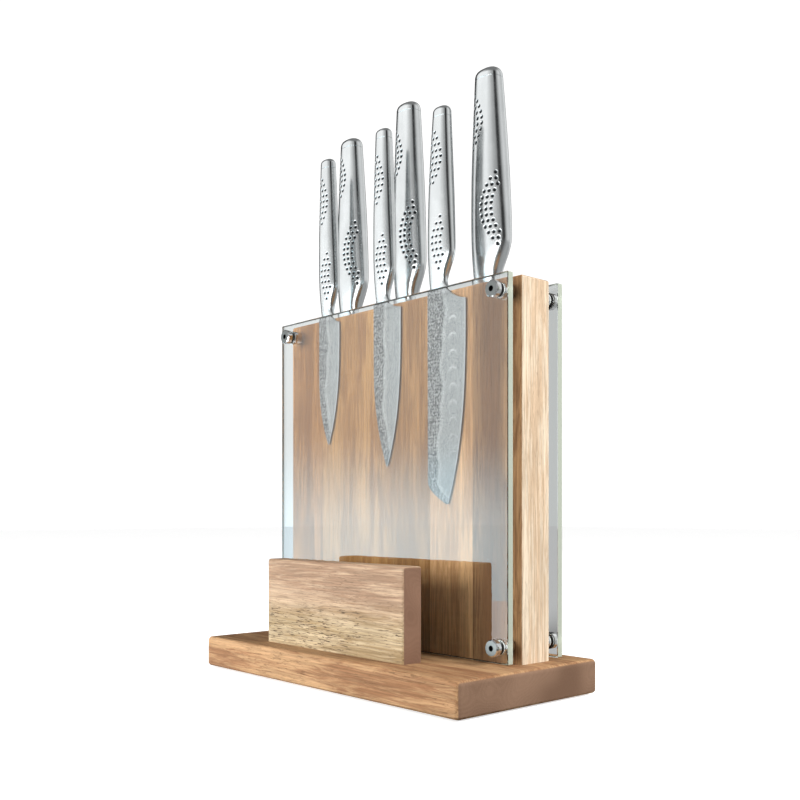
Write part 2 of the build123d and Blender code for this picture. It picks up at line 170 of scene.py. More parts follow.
def wood(name, grain, tones, seed, dashes, end, side=None, low=None, streak=None):
    """Oiled hardwood: soft bands, short dark dashes, fibres and pores along the grain axis.

    tones is the light and dark tone of the piece, end that of its end grain and side that of the faces
    that look along X, a lighter tone that is painted light from the right. low is the two tones towards
    the bottom of the piece and the two heights between which they take over. streak is the left and right
    edge of one long dark streak, and its tone.
    """
    look = Look(name)
    dark = tones[1]
    offset = (0.37 * seed, 0.91 * seed, 0.53 * seed)

    def along(stretch):
        scale = [1.0, 1.0, 1.0]
        scale[grain] = stretch
        return look.place(scale, offset)

    position = look.row_position()
    facing = look.facing()
    bands = look.noise(along(0.10), 55.0, 3.0, 0.5, 0.8)
    figure = look.noise(along(0.075), 300.0, 4.0, 0.66, 1.2)
    fibres = look.noise(along(0.022), 800.0, 5.0, 0.7, 0.25)
    pores = look.noise(along(0.050), 1700.0, 2.0, 0.6)
    body = look.maths("ADD", look.maths("MULTIPLY", bands, 0.46), look.maths("MULTIPLY", figure, 0.54))
    reach = 0.12 / FIGURE_CONTRAST
    share = look.spread(body, 0.5 - reach, 0.5 + reach)

    def toned(pair):
        return look.mix(share, (*pair[1], 1.0), (*pair[0], 1.0))

    colour = toned(tones)
    if low:
        border = look.maths("ADD", position.outputs[Z_AXIS], look.maths("MULTIPLY", body, LOW_BORDER_WAVE))
        lowness = look.spread(border, low[2], low[3], 1.0, 0.0)
        colour = look.mix(lowness, colour, toned(low))
    if streak:
        wander = look.maths("MULTIPLY", look.maths("SUBTRACT", bands, 0.5), STREAK_WANDER)
        across = look.maths("ADD", position.outputs[X_AXIS], wander)
        middle = (streak[0] + streak[1]) / 2
        half = (streak[1] - streak[0]) / 2
        distance = look.maths("ABSOLUTE", look.maths("SUBTRACT", across, middle))
        inside = look.maths("MULTIPLY", look.spread(distance, 0.2 * half, half, 1.0, 0.0), share)
        colour = look.mix(look.maths("MULTIPLY", inside, 0.9), colour, (*streak[2], 1.0))
    # Painted light: faces that look along X take the lighter side tone in place of the key light falling on
    # them.
    if side:
        sideways = look.spread(look.maths("ABSOLUTE", facing.outputs[X_AXIS]), 0.6, 0.9)
        colour = look.mix(sideways, colour, toned(side))

    marks = look.noise(along(0.10), 1250.0, 2.0, 0.6, 0.7)
    patches = look.spread(look.noise(along(0.35), 38.0, 2.0, 0.5), 0.38, 0.62, 0.25, 1.0)
    dash_share = look.maths("MULTIPLY", look.spread(marks, 0.545, 0.65), patches)
    if low:
        crowding = look.maths("ADD", look.maths("MULTIPLY", lowness, 1.3), 0.6)
        dash_share = look.maths("MULTIPLY", dash_share, crowding)
    dash_share = look.maths("MULTIPLY", dash_share, dashes)
    colour = look.mix(dash_share, colour, (*shade(dark, 0.30), 1.0))
    fine = look.spread(fibres, 0.34, 0.68, 0.78, 1.16)
    tint = look.add("ShaderNodeCombineColor", {"Red": fine, "Green": fine, "Blue": fine}).outputs[0]
    colour = look.mix(1.0, colour, tint, "MULTIPLY")
    pore_marks = look.spread(pores, 0.60, 0.72)
    colour = look.mix(look.maths("MULTIPLY", pore_marks, PORE_SHARE), colour, (*shade(dark, 0.45), 1.0))
    warp = look.noise(look.place((1, 1, 1), offset), 24.0, 1.0, 0.4)
    rings_scale = [1.0, 1.0, 1.0]
    rings_scale[grain] = 0.1
    arcs = look.sum_of(look.place(rings_scale, (0.03, 0.11, 0.06)), warp)
    inputs = {"Vector": arcs, "Scale": 9.0, "Distortion": 0.5, "Detail": 1.0, "Detail Scale": 2.0}
    rings = look.add("ShaderNodeTexWave", inputs, wave_type="RINGS", rings_direction="XYZ"[grain])
    speckle = look.noise(look.place((1, 1, 1), offset), 1500.0, 2.0, 0.6)
    growth = look.maths("ADD", look.maths("MULTIPLY", rings.outputs["Fac"], 0.05), warp)
    end_share = look.spread(growth, 0.30, 0.78)
    end_colour = look.mix(end_share, (*end[1], 1.0), (*end[0], 1.0))
    dots = look.maths("MULTIPLY", look.spread(speckle, 0.58, 0.70), PORE_SHARE)
    end_colour = look.mix(dots, end_colour, (*shade(end[1], 0.6), 1.0))
    endwards = look.maths("ABSOLUTE", facing.outputs[grain])
    colour = look.mix(look.spread(endwards, 0.65, 0.9), colour, end_colour)

    rough = look.spread(fibres, 0.3, 0.7, 0.50, 0.66)
    relief = look.maths("SUBTRACT", look.maths("MULTIPLY", fibres, 0.6), pore_marks)
    look.principled({
        "Base Color": colour,
        "Roughness": rough,
        "Normal": look.bump(relief, 0.25 * MM, 0.45),
        "Specular IOR Level": 0.10,
    })
    return look.material


# ---------------------------------------------------------------- metals, plastics and rubber

FINE_RELIEF = 0.01 * MM


def rubbed_metal(name, colour, smooth, dull):
    """Metal with soft, uneven polish between two roughnesses, and faint rubbing marks."""
    look = Look(name)
    clouds = look.noise(look.place((1, 1, 1)), 160.0, 4.0, 0.6)
    rubbed = look.noise(look.place((1, 1, 0.12)), 2600.0, 3.0, 0.6)
    polish = look.spread(clouds, 0.35, 0.7, smooth, dull)
    rough = look.maths("ADD", polish, look.maths("MULTIPLY", rubbed, 0.03))
    tint = look.mix(look.spread(clouds, 0.3, 0.7), (*shade(colour, 0.92), 1.0), (*colour, 1.0))
    look.principled({
        "Base Color": tint,
        "Metallic": 1.0,
        "Roughness": rough,
        "Normal": look.bump(rubbed, FINE_RELIEF, 0.4),
    })
    return look.material


def handle_steel():
    """Satin steel of the handles: finely brushed, brighter at the butt, duller in the pits, with painted
    shade darkening them.
    """
    look = Look("handle_steel")
    clouds = look.noise(look.place((1, 1, 0.5)), 90.0, 3.0, 0.55)
    brushed = look.noise(look.place((1, 1, 0.02)), 2400.0, 3.0, 0.6)
    pit_shade = look.attribute("pit_shade")
    polish = look.attribute("polish")
    skin = look.mix(look.spread(clouds, 0.3, 0.7), (0.64, 0.665, 0.67, 1), (0.72, 0.745, 0.75, 1))
    # Painted shade: the pits are darkened almost to black.
    colour = look.mix(pit_shade, skin, (0.030, 0.034, 0.037, 1))
    satin = look.spread(clouds, 0.35, 0.7, 0.17, 0.23)
    rough = look.maths("ADD", satin, look.maths("MULTIPLY", brushed, 0.06))
    rough = look.maths("MULTIPLY", rough, look.spread(polish, 0.0, 1.0, 1.0, 0.35))
    rough = look.maths("ADD", rough, look.maths("MULTIPLY", pit_shade, 0.25))
    look.principled({
        "Base Color": colour,
        "Metallic": 1.0,
        "Roughness": rough,
        "Normal": look.bump(brushed, FINE_RELIEF, 0.35),
    })
    return look.material


def blade_steel():
    """Layered blade steel: hammered near the spine, then wavy lines, plain satin and an even ground edge;
    painted shade in the dents and a painted highlight on the hollows' rims.
    """
    look = Look("blade_steel")
    hammered = look.attribute("hammered")
    edge = look.attribute("edge")
    dent_and_shade = look.attribute("dent_and_shade")
    border = look.attribute("border")
    warp = look.noise(look.place((1, 1, 0.35)), 75.0, 3.0, 0.6)
    lines = look.noise(look.sum_of(look.place((1, 1, 0.10)), warp), 520.0, 3.0, 0.65, 0.6)
    speckle = look.noise(look.place((1, 1, 0.7)), 1000.0, 3.0, 0.65)
    grind = look.noise(look.place((1, 1, 0.015)), 2200.0, 2.0, 0.6)
    plain = look.mix(look.spread(lines, 0.41, 0.59), (0.27, 0.29, 0.295, 1), (0.49, 0.51, 0.52, 1))
    rough_zone = look.mix(look.spread(speckle, 0.38, 0.60), (0.13, 0.14, 0.145, 1), (0.52, 0.54, 0.55, 1))
    colour = look.mix(hammered, plain, rough_zone)
    waves = look.maths("MULTIPLY", border, look.spread(lines, 0.42, 0.56))
    colour = look.mix(look.maths("MULTIPLY", waves, 0.40), colour, (0.86, 0.88, 0.89, 1))
    # Painted highlight along the upper rim of each santoku hollow.
    colour = look.mix(look.attribute("painted_rim_light"), colour, (0.92, 0.94, 0.95, 1))
    # Painted shade: the hammer dents are darkened almost to black.
    colour = look.mix(look.maths("MULTIPLY", dent_and_shade, 0.90), colour, (0.05, 0.055, 0.06, 1))
    colour = look.mix(edge, colour, (0.50, 0.52, 0.53, 1))
    satin = look.spread(lines, 0.35, 0.65, 0.22, 0.32)
    rough = look.maths("ADD", satin, look.maths("MULTIPLY", hammered, 0.10))
    relief = look.maths("MULTIPLY", speckle, hammered)
    relief = look.maths("ADD", relief, look.maths("MULTIPLY", grind, 0.08))
    look.principled({
        "Base Color": colour,
        "Metallic": 1.0,
        "Roughness": rough,
        "Normal": look.bump(relief, 0.12 * MM, 0.6),
    })
    return look.material


# Where the standoffs pass through the panels, to either side of the middle and above the floor.
STANDOFF_X = 110 * MM
STANDOFF_LOW = 34.5 * MM
STANDOFF_HIGH = 257 * MM
SOCKET_RADIUS = 1.9 * MM


def fitting_steel():
    """Turned steel of the standoffs: bright barrels, plain grey flat faces and painted shade in the socket.
    """
    look = Look("fitting_steel")
    position = look.row_position()
    facing = look.facing()
    clouds = look.noise(look.place((1, 1, 1)), 160.0, 4.0, 0.6)
    turned = look.noise(look.place((1, 0.05, 1)), 2600.0, 3.0, 0.6)
    flat = look.spread(look.maths("ABSOLUTE", facing.outputs[Y_AXIS]), 0.80, 0.95)
    side_reach = look.maths("SUBTRACT", look.maths("ABSOLUTE", position.outputs[X_AXIS]), STANDOFF_X)
    low_reach = look.maths("ABSOLUTE", look.maths("SUBTRACT", position.outputs[Z_AXIS], STANDOFF_LOW))
    high_reach = look.maths("ABSOLUTE", look.maths("SUBTRACT", position.outputs[Z_AXIS], STANDOFF_HIGH))
    reach = look.maths("MINIMUM", low_reach, high_reach)
    squares = [look.maths("MULTIPLY", value, value) for value in (side_reach, reach)]
    radius = look.maths("SQRT", look.maths("ADD", *squares))
    socket_shade = look.spread(radius, SOCKET_RADIUS - 0.2 * MM, SOCKET_RADIUS + 0.1 * MM, 1.0, 0.0)
    colour = look.mix(look.spread(clouds, 0.3, 0.7), (0.76, 0.77, 0.77, 1), (0.84, 0.85, 0.85, 1))
    colour = look.mix(flat, colour, (0.19, 0.20, 0.195, 1))
    # Painted shade: the socket is darkened almost to black.
    colour = look.mix(socket_shade, colour, (0.012, 0.012, 0.013, 1))
    rough = look.maths("ADD", look.spread(clouds, 0.35, 0.7, 0.08, 0.16), look.maths("MULTIPLY", flat, 0.22))
    look.principled({
        "Base Color": colour,
        "Metallic": 1.0,
        "Roughness": rough,
        "Normal": look.bump(turned, FINE_RELIEF, 0.4),
    })
    return look.material


def clear_acrylic():
    """Polished clear sheet whose rims take a pale green-white colour, painted light in place of the light
    the sheet carries to its edges, and that lets lamps light what is behind it.
    """
    look = Look("clear_acrylic")
    smears = look.noise(look.place((1, 1, 0.3)), 240.0, 4.0, 0.6)
    rim_mottle = look.noise(look.place((1, 1, 1)), 700.0, 3.0, 0.6)
    facing = look.facing()
    # Painted light: the rim faces take a pale green-white colour in place of the light the clear sheet
    # carries to its edges.
    painted_rim_light = look.spread(look.maths("ABSOLUTE", facing.outputs[Y_AXIS]), 0.35, 0.55, 0.80, 0.0)
    glass = look.add("ShaderNodeBsdfPrincipled", {
        "Base Color": look.mix(smears, (0.970, 0.990, 0.982, 1), (0.980, 0.994, 0.988, 1)),
        "Roughness": 0.0,
        "IOR": 1.49,
        "Transmission Weight": 1.0,
    })
    pale = look.add("ShaderNodeBsdfPrincipled", {
        "Base Color": look.mix(rim_mottle, (0.40, 0.45, 0.37, 1), (0.50, 0.54, 0.47, 1)),
        "Roughness": look.spread(rim_mottle, 0.3, 0.7, 0.25, 0.45),
        "Specular IOR Level": 0.4,
        "Normal": look.bump(rim_mottle, 0.05 * MM, 0.4),
    })
    sheet = look.add("ShaderNodeMixShader", {0: painted_rim_light, 1: glass.outputs[0], 2: pale.outputs[0]})
    clear = look.add("ShaderNodeBsdfTransparent", {"Color": (0.94, 0.96, 0.95, 1.0)})
    path = look.add("ShaderNodeLightPath")
    inputs = {0: path.outputs["Is Shadow Ray"], 1: sheet.outputs[0], 2: clear.outputs[0]}
    joined = look.add("ShaderNodeMixShader", inputs)
    look.tree.links.new(joined.outputs[0], look.output.inputs["Surface"])
    return look.material


def plain_solid(name, first, second, rough, scale):
    """Mottled rubber or silicone of the small fittings, between two colours."""
    look = Look(name)
    grain = look.noise(look.place((1, 1, 1)), scale, 4.0, 0.6)
    look.principled({
        "Base Color": look.mix(look.spread(grain, 0.35, 0.65), (*first, 1.0), (*second, 1.0)),
        "Roughness": look.spread(grain, 0.3, 0.7, rough - 0.06, rough + 0.08),
        "Normal": look.bump(grain, 0.04 * MM, 0.5),
    })
    return look.material


def dress(node, material):
    """Give a CAD node one material, in place of the one it was packed with."""
    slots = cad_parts[node].data.materials
    slots.clear()
    slots.append(material)


# Light and dark tones of each stave, from left to right as seen from the front.
STAVE_TONES = [
    (tone(170, 122, 74), tone(132, 90, 52)),
    (tone(176, 132, 84), tone(144, 102, 62)),
    (tone(182, 138, 90), tone(146, 104, 66)),
    (tone(170, 128, 86), tone(136, 98, 64)),
    (tone(206, 162, 118), tone(170, 128, 90)),
    (tone(154, 118, 84), tone(114, 82, 58)),
]
STAVE_END = (tone(190, 150, 112), tone(140, 100, 70))

for number, tones in enumerate(STAVE_TONES, 1):
    extras = {}
    if number == len(STAVE_TONES):
        # The board's end faces get a lighter side tone: painted light from the key on the right.
        extras["side"] = (tone(214, 198, 176), tone(192, 168, 142))
        extras["streak"] = (83 * MM, 112 * MM, tone(84, 58, 42))
    stave = wood(f"board_wood_{number}", Z_AXIS, tones, float(number), 0.25, STAVE_END, **extras)
    dress(f"board_stave_{number}", stave)

dress("base", wood(
    "base_wood", X_AXIS, (tone(182, 145, 108), tone(142, 104, 76)), 9.0, 0.55,
    end=(tone(134, 108, 90), tone(106, 83, 68)),
))
dress("front_block", wood(
    "block_wood", X_AXIS, (tone(188, 162, 136), tone(154, 126, 104)), 14.0, 0.62,
    end=(tone(136, 108, 91), tone(112, 87, 73)),
    low=(tone(190, 171, 140), tone(152, 130, 98), 54 * MM, 78 * MM),
))

acrylic = clear_acrylic()
dress("front_panel", acrylic)
dress("rear_panel", acrylic)
turned_steel = fitting_steel()
insert_brass = rubbed_metal("insert_brass", (0.72, 0.55, 0.27), 0.2, 0.35)
magnet_nickel = rubbed_metal("magnet_nickel", (0.62, 0.60, 0.56), 0.15, 0.3)
screw_zinc = rubbed_metal("screw_zinc", (0.62, 0.63, 0.65), 0.25, 0.4)
washer_clear = plain_solid("washer_clear", (0.80, 0.83, 0.83), (0.88, 0.90, 0.90), 0.25, 400.0)
foot_rubber = plain_solid("foot_rubber", (0.030, 0.030, 0.032), (0.055, 0.055, 0.056), 0.7, 900.0)
for row in ("front", "rear"):
    dress(f"{row}_spacers", turned_steel)
    dress(f"{row}_cap_screws", turned_steel)
    dress(f"{row}_washers", washer_clear)
    dress(f"{row}_inserts", insert_brass)
    dress(f"{row}_magnets", magnet_nickel)
    for side in ("left", "right"):
        dress(f"foot_{row}_{side}", foot_rubber)
dress("board_screws", screw_zinc)
dress("block_screws", screw_zinc)


# ---------------------------------------------------------------- knife shapes

SECTION_POWER = 2.5
HEEL_WIDTH_SHARE = 0.86
NECK_WIDTH_SHARE = 0.70
NECK_HEIGHT_SHARE = 0.22
HEEL_THICKNESS_SHARE = 0.33
FULL_THICKNESS_SHARE = 0.5
FULL_THICKNESS_POWER = 4.0
TAPER_POWER = 1.3
WEDGE_SHARE = 0.20
BUTT_CAP = 7.0 * MM
DOME_RISE_SHARE = 0.36
DOME_INSET_SHARE = 0.27
SMALL_PIT_RADIUS = 1.14 * MM
LARGE_PIT_RADIUS = 1.30 * MM
PIT_DEPTH = 0.65 * MM
PIT_EDGE = 1.3 * MM
SEAM = 0.12 * MM
BEVEL = 7.0 * MM
HEEL_CURVE = 0.8
FINE_EDGE = 1.1 * MM
EDGE_HALF_THICKNESS = 0.06 * MM
SHORTEST_LARGE_HANDLE = 140 * MM

DENT_PITCH = 2.2 * MM
DENT_DEPTH = 0.10 * MM
HOLLOWS = 9
FIRST_HOLLOW = 24.0 * MM
HOLLOW_PITCH = 11.2 * MM
HOLLOW_ACROSS = 24.0 * MM
HOLLOW_HALF_HEIGHT = 4.9 * MM
HOLLOW_HALF_WIDTH = 4.3 * MM
HOLLOW_DEPTH = 0.28 * MM
SCALLOP_PITCH = 7.0 * MM
SCALLOP_DEPTH = 1.1 * MM
PLAIN_BREAD_TIP = 20 * MM


class Knife:
    """Sizes of one knife, in metres, with offsets measured across the blade from the spine line.

    The sizes given are in millimetres. blade is its length, width and thickness, clip the length and the
    power of the curve from the back to the tip, belly the handle's greatest size as height above the
    blade, width and thickness, butt its width and thickness at the top, and lean how far it leans there.
    """

    def __init__(self, name, blade, tip, clip, edge_power, heel_drop, handle, belly, butt, lean):
        self.name = name
        self.blade_length, self.blade_width, self.blade_thickness = [size * MM for size in blade]
        self.tip_offset = tip * MM
        self.clip_length = clip[0] * MM
        self.clip_power = clip[1]
        self.edge_power = edge_power
        self.heel_drop = heel_drop * MM
        self.handle_length = handle * MM
        self.belly_height, self.belly_width, self.belly_thickness = [size * MM for size in belly]
        self.butt_width, self.butt_thickness = [size * MM for size in butt]
        self.lean = lean * MM
        self.large = self.handle_length > SHORTEST_LARGE_HANDLE
        low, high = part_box(f"{name}_blade")
        handle_low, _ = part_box(f"{name}_handle")
        self.spine_x = low.x
        self.middle_y = (low.y + high.y) / 2
        self.junction_z = handle_low.z

    def tapered(self, height, start_height, start, butt):
        """A size that shrinks from start, at its height, to the size at the butt."""
        share = np.clip((height - start_height) / (self.handle_length - start_height), 0, 1)
        return start + (butt - start) * share**TAPER_POWER

    def width(self, height):
        """Across the handle: flared heel, narrow neck, full belly, then a taper to the butt."""
        neck_height = NECK_HEIGHT_SHARE * self.belly_height
        neck = NECK_WIDTH_SHARE * self.belly_width
        heel = HEEL_WIDTH_SHARE * self.belly_width
        low = neck + (heel - neck) * np.clip(1 - height / neck_height, 0, 1) ** 2
        share = np.clip((height - neck_height) / (self.belly_height - neck_height), 0, 1)
        middle = neck + (self.belly_width - neck) * (1 - np.cos(np.pi * share)) / 2
        high = self.tapered(height, self.belly_height, self.belly_width, self.butt_width)
        return np.where(height <= neck_height, low, np.where(height <= self.belly_height, middle, high))

    def thickness(self, height):
        """Through the handle: thin where it meets the blade, full at mid height, then a taper."""
        full_height = FULL_THICKNESS_SHARE * self.handle_length
        heel = HEEL_THICKNESS_SHARE * self.belly_thickness
        rise = 1 - np.clip(1 - height / full_height, 0, 1) ** FULL_THICKNESS_POWER
        low = heel + (self.belly_thickness - heel) * rise
        high = self.tapered(height, full_height, self.belly_thickness, self.butt_thickness)
        return np.where(height <= full_height, low, high)

    def wedge(self, height):
        """How much thinner the handle gets from its back to its belly."""
        fullness = (self.width(height) - self.butt_width) / (self.belly_width - self.butt_width)
        return WEDGE_SHARE * np.maximum(0.0, fullness)

    def back(self, height):
        """How far the handle's back has leaned from the spine line."""
        return self.lean * (height / self.handle_length) ** 2

    def section(self, height, inset, turns):
        """Points round the handle at one height; turn 0 is the middle of the back, then the front face."""
        half_width = self.width(height) / 2
        middle_x = self.spine_x + self.back(height) + half_width
        half_width = half_width - inset
        half_thickness = self.thickness(height) / 2 - inset
        cosine, sine = np.cos(turns), np.sin(turns)
        power = 2 / SECTION_POWER
        across = -np.sign(cosine) * np.abs(cosine) ** power
        through = -np.sign(sine) * np.abs(sine) ** power * (1 - self.wedge(height) * across)
        return middle_x + half_width * across, self.middle_y + half_thickness * through


def even_ring(knife, height, count, inset=0.0):
    """One section with evenly spaced points, and each point's distance round from the back."""
    dense = np.linspace(-np.pi, np.pi, 721)
    x, y = knife.section(height, inset, dense)
    walked = np.concatenate([[0], np.cumsum(np.hypot(np.diff(x), np.diff(y)))])
    middle = walked[len(dense) // 2]
    targets = np.arange(count) / count * walked[-1]
    return np.interp(targets, walked, x), np.interp(targets, walked, y), targets - middle


def place_on_front(knife, height, across_share):
    """Distance round from the back to the point on the front face at a share of the half width."""
    turns = np.linspace(0, np.pi, 361)
    x, y = knife.section(height, 0.0, turns)
    walked = np.concatenate([[0], np.cumsum(np.hypot(np.diff(x), np.diff(y)))])
    wanted = (x[0] + x[-1]) / 2 + across_share * (x[-1] - x[0]) / 2
    return float(np.interp(wanted, x, walked))


class PitGroup(NamedTuple):
    """Rows of grip pits. Heights and pitch are in millimetres, middle and ends in half widths."""

    low: float
    high: float
    rows: int
    middle: float
    ends: float
    pitch: float

    def height(self, row):
        return (self.low + (self.high - self.low) * row / (self.rows - 1)) * MM

    def edge(self, row, power):
        """Where a row starts, in half widths: middle for the middle row, ends for the first and last."""
        share = abs(2 * row / (self.rows - 1) - 1)
        return self.middle + (self.ends - self.middle) * share**power


LARGE_LEAF = PitGroup(97.0, 134.0, 10, 0.05, -0.62, 3.9)
LARGE_CRESCENT = PitGroup(30.0, 78.0, 13, -0.06, 0.76, 4.0)
SMALL_LEAF = PitGroup(71.6, 105.5, 9, 0.52, -0.20, 3.5)
SMALL_CRESCENT = PitGroup(14.0, 48.0, 9, -0.30, 0.40, 3.5)
FARTHEST_PIT = 0.9


def pit_places(knife):
    """(height, distance round from the back) of each grip pit: a leaf near the butt, a crescent below."""
    leaf, crescent = (LARGE_LEAF, LARGE_CRESCENT) if knife.large else (SMALL_LEAF, SMALL_CRESCENT)
    places = []
    for row in range(leaf.rows):
        height = leaf.height(row)
        outer = place_on_front(knife, height, leaf.edge(row, 1.8))
        while outer > PIT_EDGE:
            places.append((height, outer))
            outer -= leaf.pitch * MM
    for row in range(crescent.rows):
        height = crescent.height(row)
        start = place_on_front(knife, height, crescent.edge(row, 2))
        limit = place_on_front(knife, height, FARTHEST_PIT)
        columns = min(3, 1 + min(row, crescent.rows - 1 - row))
        for column in range(columns):
            place = start + column * crescent.pitch * MM
            if place < limit:
                places.append((height, place))
    return places


def mesh_object(name, vertices, faces, attributes=(), sharp=35.0):
    """A smooth-shaded mesh object with optional named values on its points."""
    mesh = bpy.data.meshes.new(name)
    mesh.from_pydata([tuple(vertex) for vertex in vertices], [], faces)
    mesh.validate()
    for label, values in attributes:
        attribute = mesh.attributes.new(label, "FLOAT", "POINT")
        attribute.data.foreach_set("value", np.asarray(values, np.float32))
    mesh.polygons.foreach_set("use_smooth", [True] * len(mesh.polygons))
    mesh.set_sharp_from_angle(angle=math.radians(sharp))
    made = bpy.data.objects.new(name, mesh)
    bpy.context.scene.collection.objects.link(made)
    return made


def tube_faces(rows, count):
    """Quads between closed rings of the same number of points."""
    faces = []
    for row in range(rows - 1):
        base = row * count
        for step in range(count):
            following = (step + 1) % count
            faces.append((base + step, base + following, base + count + following, base + count + step))
    return faces


def stepped_heights(top, fine, coarse, zones):
    """Heights from 0 to the top, finely spaced inside the zones and coarsely outside them."""
    heights = [0.0]
    while heights[-1] < top:
        here = heights[-1]
        step = fine if any(low - fine <= here <= high for low, high in zones) else coarse
        next_zone = [low for low, high in zones if low > here]
        if next_zone:
            step = min(step, max(fine, next_zone[0] - here))
        heights.append(min(top, here + step))
    return heights


COARSE_ROW = 1.3 * MM
POLISHED_TOP = 6 * MM


def make_handle(knife, material):
    """Handle skin with its grip pits pressed in, meshed finely only where there are pits."""
    cell = 0.34 * MM
    pit_radius = LARGE_PIT_RADIUS if knife.large else SMALL_PIT_RADIUS
    margin = pit_radius * 1.3
    places = pit_places(knife)
    heights = sorted({place[0] for place in places})
    gap = max(zip(heights, heights[1:]), key=lambda pair: pair[1] - pair[0])
    zones = [(heights[0] - margin, gap[0] + margin), (gap[1] - margin, heights[-1] + margin)]
    top = knife.handle_length - BUTT_CAP - SEAM
    rows = stepped_heights(top, cell, COARSE_ROW, zones)
    count = int(round(2.02 * (knife.belly_width + knife.belly_thickness) * 0.87 / cell / 2)) * 2
    pits = np.array(places + [(height, -around) for height, around in places])
    vertices, depths = [], []
    for height in rows:
        x, y, around = even_ring(knife, height, count)
        near = pits[np.abs(pits[:, 0] - height) < margin]
        depth = np.zeros(count)
        if len(near):
            distance = np.hypot(near[:, 0][:, None] - height, near[:, 1][:, None] - around[None, :]).min(0)
            share = np.clip(1 - (distance / pit_radius) ** 2, 0, 1)
            depth = share**0.75
        tangent = np.stack([np.roll(x, -1) - np.roll(x, 1), np.roll(y, -1) - np.roll(y, 1)])
        tangent /= np.hypot(*tangent)
        vertices.append(np.stack([
            x - tangent[1] * depth * PIT_DEPTH,
            y + tangent[0] * depth * PIT_DEPTH,
            np.full(count, knife.junction_z + height),
        ], 1))
        depths.append(depth)
    faces = tube_faces(len(rows), count)
    faces.append(list(range(count))[::-1])
    faces.append(list(range((len(rows) - 1) * count, len(rows) * count)))
    # The pit depths, strengthened, set how much painted shade darkens each pit.
    pit_values = np.concatenate(depths)
    polish = np.repeat(np.clip(1 - (top - np.array(rows)) / POLISHED_TOP, 0, 1) * 0.8, count)
    piece = mesh_object(f"{knife.name}_grip", np.concatenate(vertices), faces,
                        [("pit_shade", np.clip(pit_values * 1.9, 0, 1)), ("polish", polish)], 50.0)
    finish_piece(piece, knife, f"{knife.name}_handle", material)


def make_butt_cap(knife, material):
    """Domed cap that closes the handle above a fine seam."""
    count = 160
    shell_top = knife.handle_length - BUTT_CAP
    rise = knife.butt_thickness * DOME_RISE_SHARE
    drawn_in = knife.butt_thickness * DOME_INSET_SHARE
    shoulder = knife.handle_length - rise
    rings = [(shell_top - SEAM, 3 * SEAM), (shell_top, 2 * SEAM), (shell_top + SEAM, 0.0)]
    rings += [(shell_top + SEAM + (shoulder - shell_top - SEAM) * step / 6, 0.0) for step in range(1, 7)]
    for step in range(1, 15):
        turn = math.pi / 2 * step / 14
        rings.append((shoulder + rise * math.sin(turn), drawn_in * (1 - math.cos(turn))))
    vertices = []
    for height, inset in rings:
        x, y, _ = even_ring(knife, height, count, inset)
        vertices.append(np.stack([x, y, np.full(count, knife.junction_z + height)], 1))
    last = vertices[-1]
    centre = last.mean(0)
    for share, lift in ((0.66, 0.12), (0.33, 0.18)):
        ring = centre + (last - centre) * share
        ring[:, 2] += lift * MM
        vertices.append(ring)
    faces = tube_faces(len(vertices), count)
    faces.append(list(range(count))[::-1])
    faces.append(list(range((len(vertices) - 1) * count, len(vertices) * count)))
    piece = mesh_object(f"{knife.name}_butt", np.concatenate(vertices), faces,
                        [("polish", np.ones(len(vertices) * count))], 40.0)
    finish_piece(piece, knife, f"{knife.name}_butt_cap", material)


def finish_piece(piece, knife, node, material):
    """Dress a mesh and let it ride on its knife in place of a CAD node."""
    piece.data.materials.append(material)
    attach(piece, f"{knife.name}_knife")
    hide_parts(node)


def jittered_dents(knife, generator):
    """(height above tip, distance from the spine, radius) of the hammer marks near the spine."""
    marks = []
    rows = int(knife.blade_length / DENT_PITCH)
    for row in range(rows):
        above_tip = (row + 0.5) * DENT_PITCH
        reach = hammered_width(knife, above_tip)
        for column in range(int(reach / DENT_PITCH) + 1):
            shift = generator.uniform(-0.22, 0.22, 2) * DENT_PITCH
            radius = generator.uniform(0.60, 0.95) * MM
            marks.append((above_tip + shift[0], (column + 0.5) * DENT_PITCH + shift[1], radius))
    return np.array(marks)


def hammered_width(knife, above_tip):
    """How far the speckled band reaches from the spine at this height, with its wavy border."""
    share = above_tip / knife.blade_length
    wave = 0.035 * np.sin(above_tip / (9 * MM)) + 0.025 * np.sin(above_tip / (4.1 * MM) + 1.0)
    return knife.blade_width * (0.20 + 0.22 * np.clip(share * 1.25, 0, 1) ** 0.8 + wave)


def blade_rows(count):
    """Shares of the blade's length, closer together towards the tip."""
    return 0.004 + 0.996 * np.linspace(0, 1, count) ** 1.25


def blade_grid(knife, columns, rows):
    """Across and along places of a grid over the blade's side, following the back, edge and heel."""
    across = np.linspace(0, 1, columns)[None, :]
    along = blade_rows(rows)[:, None]
    neck = float(knife.width(np.array(0.0))) - 1.0 * MM
    run = np.clip((across * knife.blade_width - neck) / (knife.blade_width - neck), 0, 1)
    top = knife.blade_length - knife.heel_drop * (run + HEEL_CURVE * run * (1 - run))
    above_tip = along * top
    left = np.clip(1 - above_tip / knife.clip_length, 0, 1)
    back = knife.tip_offset * left**knife.clip_power
    straight_from = knife.blade_length - knife.heel_drop
    left = np.clip(1 - above_tip / straight_from, 0, 1)
    edge = knife.blade_width - (knife.blade_width - knife.tip_offset) * left**knife.edge_power
    return back + across * (edge - back), above_tip, back, edge


